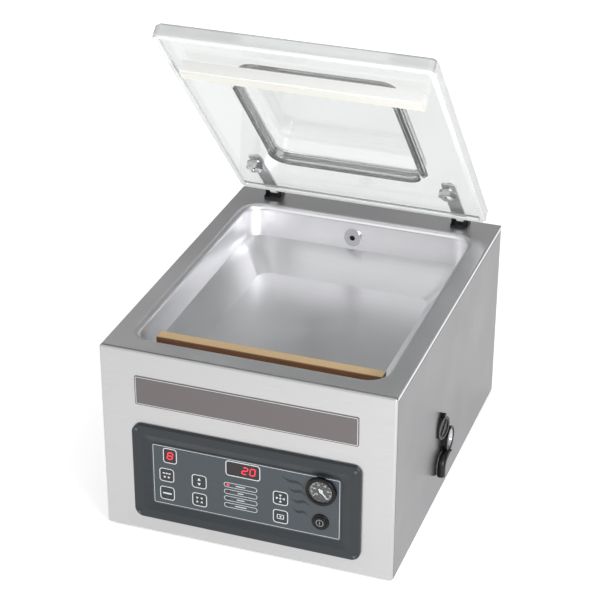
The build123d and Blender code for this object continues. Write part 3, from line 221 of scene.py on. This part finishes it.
CLOTH_THREAD = 0.8 * MM   # real threads are 0.3 mm apart, drawn coarser to show
cloth, cloth_shader = finish_of("ptfe_glass_cloth", {"Roughness": 0.42, "IOR": 1.38})
cloth_place = add(cloth, "TexCoord").outputs["Object"]
threads = [add(cloth, "TexWave", {"Vector": cloth_place, "Scale": 1 / CLOTH_THREAD / 20 * math.pi},
               bands_direction=axis).outputs["Fac"] for axis in "XY"]
weave = add(cloth, "Math", {0: threads[0], 1: threads[1]}, operation="MULTIPLY").outputs[0]
link(cloth, add(cloth, "Mix", {0: weave, 6: linear("C4A67C"), 7: linear("DAC4A0")},
                data_type="RGBA").outputs[2], cloth_shader.inputs["Base Color"])
bumped(cloth, cloth_shader, weave, 0.00004)
wear("ptfe_tape", cloth)

# ---- Lid ----------------------------------------------------------------------
# Cast acrylic 20 mm thick, routed round its edge and thermoformed into a dome.
# Clear, a little grey, with the routed edges left matt and whiter.
acrylic, acrylic_shader = finish_of("acrylic_cast_clear", {"Base Color": linear("EBEDEC"), "IOR": 1.49})
LID_SLOPE = math.radians(48)
lid_place = add(acrylic, "TexCoord").outputs["Object"]
along_lid = add(acrylic, "VectorMath", {0: lid_place, 1: (0, math.cos(LID_SLOPE), -math.sin(LID_SLOPE))},
                operation="DOT_PRODUCT").outputs["Value"]
ACROSS_HALF, ALONG_HALF, ALONG_MID = 210 * MM, 261.5 * MM, -344.6 * MM
from_mid = add(acrylic, "Math", {0: along_lid, 1: ALONG_MID}, operation="SUBTRACT").outputs[0]
along_share = add(acrylic, "Math", {0: add(acrylic, "Math", {0: from_mid}, operation="ABSOLUTE").outputs[0],
                                    1: ALONG_HALF}, operation="DIVIDE").outputs[0]
lid_x = add(acrylic, "SeparateXYZ", {0: lid_place}).outputs["X"]
across_share = add(acrylic, "Math", {0: add(acrylic, "Math", {0: lid_x}, operation="ABSOLUTE").outputs[0],
                                     1: ACROSS_HALF}, operation="DIVIDE").outputs[0]
edge_share = add(acrylic, "Math", {0: along_share, 1: across_share}, operation="MAXIMUM").outputs[0]
MATT_FROM, MATT_FULL = 0.975, 0.992      # shares of the half width or half length
for socket, clear, matt in (("Roughness", 0.015, 0.30), ("Transmission Weight", 0.96, 0.45)):
    edge = add(acrylic, "MapRange", {"Value": edge_share, "From Min": MATT_FROM, "From Max": MATT_FULL,
                                     "To Min": clear, "To Max": matt})
    link(acrylic, edge.outputs["Result"], acrylic_shader.inputs[socket])
wear("lid_shell", acrylic)
wear("counter_bar_holder", moulded("acetal_white", "E8E8E6", 0.35, 0.0010, 0.00002))
wear("counter_bar_silicone", moulded("silicone_ivory", "E2E1DA", 0.50, 0.0008, 0.00004, 0.4))

# ---- Label plate --------------------------------------------------------------
# A printed polyester plate on the front panel, grey-brown with a thin light line
# set in from its edge. It is left bare.


def flat_plate(bm, width, height, radius):
    """Adds a flat plate with rounded corners in the XZ plane, facing -Y, and returns its face."""
    grid = bmesh.ops.create_grid(bm, x_segments=1, y_segments=1, size=0.5)
    corners = grid["verts"]
    bmesh.ops.scale(bm, vec=(width, height, 1), verts=corners)
    if radius:
        bevel = bmesh.ops.bevel(bm, geom=corners, offset=radius, segments=5, profile=0.5,
                                affect="VERTICES", material=-1, clamp_overlap=True)
        face = max({f for v in bevel["verts"] for f in v.link_faces}, key=lambda f: f.calc_area())
    else:
        face = corners[0].link_faces[0]
    bmesh.ops.rotate(bm, cent=(0, 0, 0), matrix=Matrix.Rotation(math.pi / 2, 3, "X"), verts=face.verts)
    return face


PRINT = 0.06 * MM         # thickness of a printed mark


def raise_print(bm, faces, x, y, z):
    """Gives faces that thickness out of the panel and moves them to their place."""
    grown = bmesh.ops.extrude_face_region(bm, geom=faces)["geom"]
    top = [g for g in grown if isinstance(g, bmesh.types.BMVert)]
    bmesh.ops.translate(bm, vec=(0, -PRINT, 0), verts=top)
    whole = {v for f in faces for v in f.verts} | set(top)
    bmesh.ops.translate(bm, vec=(x, y, z), verts=list(whole))


def printed_line(bm, x, y, z, width, height, radius, line):
    """A printed rounded outline round a centre."""
    face = flat_plate(bm, width, height, radius)
    rim = bmesh.ops.inset_region(bm, faces=[face], thickness=line, use_boundary=True)["faces"]
    bmesh.ops.delete(bm, geom=[face], context="FACES_ONLY")
    raise_print(bm, rim, x, y, z)


def printed_bar(bm, x, y, z, width, height, radius=0.0, slope=0.0):
    """A printed solid bar, turned by slope degrees."""
    face = flat_plate(bm, width, height, radius)
    bmesh.ops.rotate(bm, cent=(0, 0, 0), matrix=Matrix.Rotation(math.radians(-slope), 3, "Y"),
                     verts=face.verts)
    raise_print(bm, [face], x, y, z)


def printed_disc(bm, x, y, z, radius, sides=16, turn=0.0):
    """A printed disc, or with three sides a triangle that points at turn degrees."""
    disc = bmesh.ops.create_circle(bm, cap_ends=True, radius=radius, segments=sides)["verts"]
    bmesh.ops.rotate(bm, cent=(0, 0, 0), matrix=Matrix.Rotation(math.radians(turn - 90), 3, "Z"), verts=disc)
    bmesh.ops.rotate(bm, cent=(0, 0, 0), matrix=Matrix.Rotation(math.pi / 2, 3, "X"), verts=disc)
    raise_print(bm, [disc[0].link_faces[0]], x, y, z)


def piece_from(bm, name, material, body):
    """Closes a bmesh into a named piece that rides on a body."""
    bmesh.ops.recalc_face_normals(bm, faces=bm.faces)
    mesh = bpy.data.meshes.new(name)
    bm.to_mesh(mesh)
    bm.free()
    made = bpy.data.objects.new(name, mesh)
    bpy.context.scene.collection.objects.link(made)
    mesh.materials.append(material)
    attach(made, body)


def centre_of(node_name):
    low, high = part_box(node_name)
    return (low + high) / 2


label_low, label_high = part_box("label_plate")
label_mid = centre_of("label_plate")
LABEL_MARGIN, LABEL_RADIUS, LABEL_LINE = 3 * MM, 2.2 * MM, 0.8 * MM
wear("label_plate", moulded("polyester_print_taupe", "5C5657", 0.34, 0.0012, 0.000008))
light_ink = moulded("screen_ink_light_grey", "C4C8CA", 0.45, 0.0008, 0.000005)
label_print = bmesh.new()
printed_line(label_print, 0, label_low.y, label_mid.z, label_high.x - label_low.x - LABEL_MARGIN,
             label_high.z - label_low.z - LABEL_MARGIN, LABEL_RADIUS, LABEL_LINE)
piece_from(label_print, "label_line", light_ink, "casing")

# ---- Control panel ------------------------------------------------------------
# A moulded ABS frame round a recess, with a polyester film in it that is printed
# from behind: light outlines round keys, windows and lamps on a slate ground.
wear("control_bezel", moulded("abs_slate_moulded", "161C21", 0.36, 0.0007, 0.00003))
wear("membrane_overlay", moulded("polyester_film_slate", "343B41", 0.30, 0.0012, 0.000010))
key_film = moulded("polyester_film_key", "1A1F23", 0.34, 0.0010, 0.000012)

film_low, film_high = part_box("membrane_overlay")
film_mid = centre_of("membrane_overlay")
FACE = film_low.y
FILM_MARGIN, FILM_RADIUS, FILM_LINE = 4 * MM, 2 * MM, 0.7 * MM
print_bm = bmesh.new()
printed_line(print_bm, film_mid.x, FACE, film_mid.z, film_high.x - film_low.x - FILM_MARGIN,
             film_high.z - film_low.z - FILM_MARGIN, FILM_RADIUS, FILM_LINE)
KEY_FRAME, KEY_RADIUS, KEY_LINE = 23.4 * MM, 5 * MM, 1.4 * MM
for number in range(1, 7):
    key = centre_of(f"key_{number}")
    printed_line(print_bm, key.x, FACE, key.z, KEY_FRAME, KEY_FRAME, KEY_RADIUS, KEY_LINE)
WINDOW_MARGIN = 4 * MM
for name in ("program_display", "value_display"):
    low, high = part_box(name)
    mid = centre_of(name)
    printed_line(print_bm, mid.x, FACE, mid.z, high.x - low.x + WINDOW_MARGIN,
                 high.z - low.z + WINDOW_MARGIN, KEY_RADIUS, KEY_LINE)

LAMP_PITCH = 11.8 * MM
lamp_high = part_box("led_lenses")[1]
LAMP_R = 2 * MM
PILL_W, PILL_H, PILL_RADIUS, PILL_LINE = 52 * MM, 8.4 * MM, 4 * MM, 0.8 * MM
row_x = centre_of("led_lenses").x + 19.5 * MM
for step, word in enumerate((15, 9, 12, 18)):
    z = lamp_high.z - LAMP_R - step * LAMP_PITCH
    printed_line(print_bm, row_x, FACE, z, PILL_W, PILL_H, PILL_RADIUS, PILL_LINE)
    printed_bar(print_bm, row_x, FACE, z, word * MM, 1.5 * MM, 0.6 * MM)
piece_from(print_bm, "panel_print", light_ink, "casing")


def printed_wave(bm, x, y, z, length, drop, bow, width):
    """A printed brush stroke that runs right and down, bowed and pointed at its ends."""
    stroke = bmesh.ops.create_grid(bm, x_segments=24, y_segments=1, size=0.5)["verts"]
    for v in stroke:
        along, side = v.co.x + 0.5, v.co.y * 2
        swell = math.sin(math.pi * along)
        fall = drop * along + bow * math.sin(math.tau * along)
        v.co = (length * along, 0, side * width / 2 * swell - fall)
    raise_print(bm, list({f for v in stroke for f in v.link_faces}), x, y, z)


dark_ink = moulded("screen_ink_black", "101316", 0.40, 0.0008, 0.000005)
waves = bmesh.new()
for left, top, length, drop in ((56, 153, 36, 16), (66, 135, 28, 11), (70, 117, 30, 9), (72, 101, 26, 12)):
    printed_wave(waves, left * MM, FACE, top * MM, length * MM, drop * MM, 3.2 * MM, 5.0 * MM)
piece_from(waves, "panel_waves", dark_ink, "casing")

# ---- Keys ---------------------------------------------------------------------
# Six film-covered plates over tact switches. Each carries a small plain mark,
# so the marks move with the keys.


def compass(degrees, distance):
    """A step of that length in the panel's plane, counted from +X towards +Z."""
    return Vector((math.cos(math.radians(degrees)), 0, math.sin(math.radians(degrees)))) * distance


for number in range(1, 7):
    name = f"key_{number}"
    wear(name, key_film)
    key = centre_of(name)
    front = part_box(name)[0].y
    mark = bmesh.new()
    if number == 1:
        for dx in (-4.5, 0, 4.5):
            printed_bar(mark, key.x + dx * MM, front, key.z + 3.2 * MM, 3.4 * MM, 2.2 * MM, 0.5 * MM)
        for dx in (-3.2, 3.2):
            printed_disc(mark, key.x + dx * MM, front, key.z - 3.2 * MM, 1.7 * MM)
    elif number == 2:
        printed_bar(mark, key.x, front, key.z, 14 * MM, 2.6 * MM, 0.8 * MM)
    elif number == 3:
        printed_disc(mark, key.x, front, key.z + 3.6 * MM, 3.2 * MM, 3, 90)
        printed_disc(mark, key.x, front, key.z - 3.6 * MM, 3.2 * MM, 3, -90)
    elif number == 4:
        for turn in (45, 135, 225, 315):
            away = compass(turn, 5 * MM)
            printed_disc(mark, key.x + away.x, front, key.z + away.z, 2.5 * MM, 3, turn)
    elif number == 5:
        for turn in (0, 90, 180, 270):
            away = compass(turn, 5.4 * MM)
            printed_disc(mark, key.x + away.x, front, key.z + away.z, 2.6 * MM, 3, turn + 180)
        printed_disc(mark, key.x, front, key.z, 1.6 * MM)
    else:
        printed_line(mark, key.x, front, key.z, 11 * MM, 8 * MM, 1.5 * MM, 1.2 * MM)
        printed_disc(mark, key.x, front, key.z, 2.2 * MM, 3, -90)
    piece_from(mark, f"key_mark_{number}", light_ink, name)

switch_mid, switch_face = centre_of("power_button"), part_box("power_button")[0].y
switch_mark = bmesh.new()
printed_line(switch_mark, switch_mid.x, switch_face, switch_mid.z, 11.6 * MM, 11.6 * MM, 5.7 * MM, 0.9 * MM)
printed_bar(switch_mark, switch_mid.x, switch_face, switch_mid.z, 0.9 * MM, 6.4 * MM)
grey_ink = moulded("laser_mark_grey", "8A8E90", 0.50, 0.0008, 0.000005)
piece_from(switch_mark, "switch_mark", grey_ink, "power_button")

# ---- Displays and lamps -------------------------------------------------------
# Smoked windows with red seven-segment figures, and four red lamp lenses of which
# the first is lit.
window = moulded("acrylic_smoked_red", "1A0E10", 0.16, 0.0020, 0.000004)
wear("program_display", window)
wear("value_display", window)


def glowing(name, colour, strength):
    """Its own colour with a steady glow: lit plastic for the figures, a painted glow on white print."""
    return finish_of(name, {"Base Color": linear(colour), "Roughness": 0.4,
                            "Emission Color": linear(colour), "Emission Strength": strength})[0]


figure_glow = glowing("led_figure_red", "E8243A", 1.6)
SEGMENTS = {"0": "abcdef", "2": "abdeg", "8": "abcdefg"}
SEGMENT_PLACE = {"a": (0, 1, 0), "g": (0, 0, 0), "d": (0, -1, 0), "b": (0.5, 0.5, 90), "c": (0.5, -0.5, 90),
                 "f": (-0.5, 0.5, 90), "e": (-0.5, -0.5, 90)}
FIGURE_W, FIGURE_H, FIGURE_LEAN = 6.4 * MM, 5.6 * MM, 0.16


def figure(bm, digit, x, y, z):
    """One seven-segment figure that leans to the right."""
    for segment in SEGMENTS[digit]:
        across, up, turn = SEGMENT_PLACE[segment]
        length = FIGURE_W if turn == 0 else FIGURE_H
        lean = up * FIGURE_H * FIGURE_LEAN
        printed_bar(bm, x + across * (FIGURE_W + 1.2 * MM) + lean, y, z + up * FIGURE_H, length - 0.6 * MM,
                    1.4 * MM, 0.5 * MM, 90 - 9 if turn else 0)


figures = bmesh.new()
program = centre_of("program_display")
figure(figures, "8", program.x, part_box("program_display")[0].y, program.z)
value = centre_of("value_display")
figure(figures, "2", value.x + 3 * MM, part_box("value_display")[0].y, value.z)
figure(figures, "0", value.x + 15 * MM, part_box("value_display")[0].y, value.z)
piece_from(figures, "display_figures", figure_glow, "casing")

lamp, lamp_shader = finish_of("polycarbonate_lamp_red", {"Roughness": 0.25, "IOR": 1.58})
lamp_up = add(lamp, "SeparateXYZ", {0: add(lamp, "TexCoord").outputs["Object"]}).outputs["Z"]
lit = add(lamp, "Math", {0: lamp_up, 1: lamp_high.z - LAMP_PITCH / 2}, operation="GREATER_THAN").outputs[0]
link(lamp, add(lamp, "Mix", {0: lit, 6: linear("3A1418"), 7: linear("E02B3E")},
               data_type="RGBA").outputs[2], lamp_shader.inputs["Base Color"])
link(lamp, add(lamp, "Mix", {0: lit, 6: linear("000000"), 7: linear("E02B3E")},
               data_type="RGBA").outputs[2], lamp_shader.inputs["Emission Color"])
lamp_shader.inputs["Emission Strength"].default_value = 1.2
wear("led_lenses", lamp)

# ---- Vacuum gauge -------------------------------------------------------------
# A dial in a black case behind a clear lens: white divisions and plain numbers
# on a dark ground, and a white needle on its hub. These white parts have a painted glow.
wear("gauge_dial", moulded("dial_print_charcoal", "17191B", 0.50, 0.0010, 0.000008))
# The needle and the dial's white print glow a little: painted light, as they are no lamps.
white_print_painted_glow = glowing("enamel_white_painted_glow", "F6F6F6", 0.35)
wear("gauge_needle", white_print_painted_glow)
glass = finish_of("acrylic_lens_clear", {
    "Base Color": linear("F4F6F6"), "Transmission Weight": 1.0, "IOR": 1.49, "Roughness": 0.01,
    "Specular IOR Level": 0.25})[0]
wear("gauge_lens", glass)
wear("oil_sight_glass", glass)
dial = centre_of("gauge_dial")
DIAL_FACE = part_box("gauge_dial")[0].y + 2.0 * MM
NUMBER_REACH = 10.2 * MM
ZERO_DEG, SWEEP_DEG = -50.0, 270.0
marks = bmesh.new()
for division in range(51):
    turn = ZERO_DEG + SWEEP_DEG * division / 50
    reach, length, width = (14.6, 3.4, 0.7) if division % 5 == 0 else (15.4, 1.8, 0.3)
    away = compass(turn, reach * MM)
    printed_bar(marks, dial.x + away.x, DIAL_FACE, dial.z + away.z, length * MM, width * MM, 0, turn)
piece_from(marks, "gauge_divisions", white_print_painted_glow, "casing")
for division, words in ((0, "0"), (10, "20"), (20, "40"), (30, "60"), (40, "80"), (50, "100")):
    away = compass(ZERO_DEG + SWEEP_DEG * division / 50, NUMBER_REACH)
    curve = bpy.data.curves.new("dial_number", "FONT")
    curve.body = words
    curve.size = 3.8 * MM
    curve.align_x, curve.align_y = "CENTER", "CENTER"
    written = bpy.data.objects.new("dial_number", curve)
    flat = bpy.data.meshes.new_from_object(written)
    bpy.data.objects.remove(written)
    number_bm = bmesh.new()
    number_bm.from_mesh(flat)
    bmesh.ops.remove_doubles(number_bm, verts=number_bm.verts, dist=1e-6)
    bmesh.ops.rotate(number_bm, cent=(0, 0, 0), matrix=Matrix.Rotation(math.pi / 2, 3, "X"),
                     verts=number_bm.verts)
    raise_print(number_bm, number_bm.faces[:], dial.x + away.x, DIAL_FACE, dial.z + away.z)
    piece_from(number_bm, f"dial_number_{words}", white_print_painted_glow, "casing")

# ---- Floor, light and camera --------------------------------------------------
# A plain white floor under soft studio light from overhead and from the near right,
# and the camera to the right of the front, looking down on the open machine.
floor_bm = bmesh.new()
bmesh.ops.create_grid(floor_bm, x_segments=1, y_segments=1, size=40.0)
floor_mesh = bpy.data.meshes.new("floor")
floor_bm.to_mesh(floor_mesh)
floor_bm.free()
floor = bpy.data.objects.new("floor", floor_mesh)
bpy.context.scene.collection.objects.link(floor)
floor_mesh.materials.append(finish_of("floor_lit_acrylic", {
    "Base Color": linear("F6F6F6"), "Roughness": 0.9, "Specular IOR Level": 0.1,
    "Emission Strength": 0.40})[0])

world = bpy.data.worlds.new("studio")
world.use_nodes = True
sky = world.node_tree.nodes["Background"]
sky.inputs["Color"].default_value = (1, 1, 1, 1)
sky_way = add(world, "SeparateXYZ", {0: add(world, "TexCoord").outputs["Generated"]}).outputs
SKY_FRONT, SKY_REAR, SKY_OVERHEAD = 1.10, 0.24, 0.76
low_sky = add(world, "MapRange", {"Value": sky_way["Y"], "From Min": -0.5, "From Max": 0.5,
                                  "To Min": SKY_FRONT, "To Max": SKY_REAR}).outputs["Result"]
overhead = add(world, "MapRange", {"Value": sky_way["Z"], "From Min": 0.60,
                                   "From Max": 0.90}).outputs["Result"]
sky_strength = add(world, "Mix", {0: overhead, 2: low_sky, 3: SKY_OVERHEAD})
link(world, sky_strength.outputs[0], sky.inputs["Strength"])
bpy.context.scene.world = world
bpy.context.scene.view_settings.view_transform = "Standard"


def softbox(name, place, aim, size, watts):
    """Square area light of that size that looks at a point."""
    lamp_data = bpy.data.lights.new(name, "AREA")
    lamp_data.size = size
    lamp_data.energy = watts
    made = bpy.data.objects.new(name, lamp_data)
    bpy.context.scene.collection.objects.link(made)
    made.location = place
    made.rotation_mode = "QUATERNION"
    made.rotation_quaternion = (Vector(aim) - Vector(place)).to_track_quat("-Z", "Y")


softbox("top_light", (0.0, 0.2, 2.6), (0.0, 0.0, 0.2), 2.6, 8)
softbox("front_light", (1.1, -1.1, 0.8), (0.3, -0.5, 0.1), 0.7, 13)

camera_data = bpy.data.cameras.new("camera")
camera_data.lens = 113.75
camera_data.sensor_width = 36.0
camera = bpy.data.objects.new("camera", camera_data)
bpy.context.scene.collection.objects.link(camera)
YAW, PITCH, ROLL = 0.34068, 1.07579, 0.00297
turn = Matrix.Rotation(YAW, 4, "Z") @ Matrix.Rotation(PITCH, 4, "X") @ Matrix.Rotation(ROLL, 4, "Z")
camera.matrix_world = Matrix.Translation((0.8417, -2.4308, 1.6680)) @ turn
bpy.context.scene.camera = camera
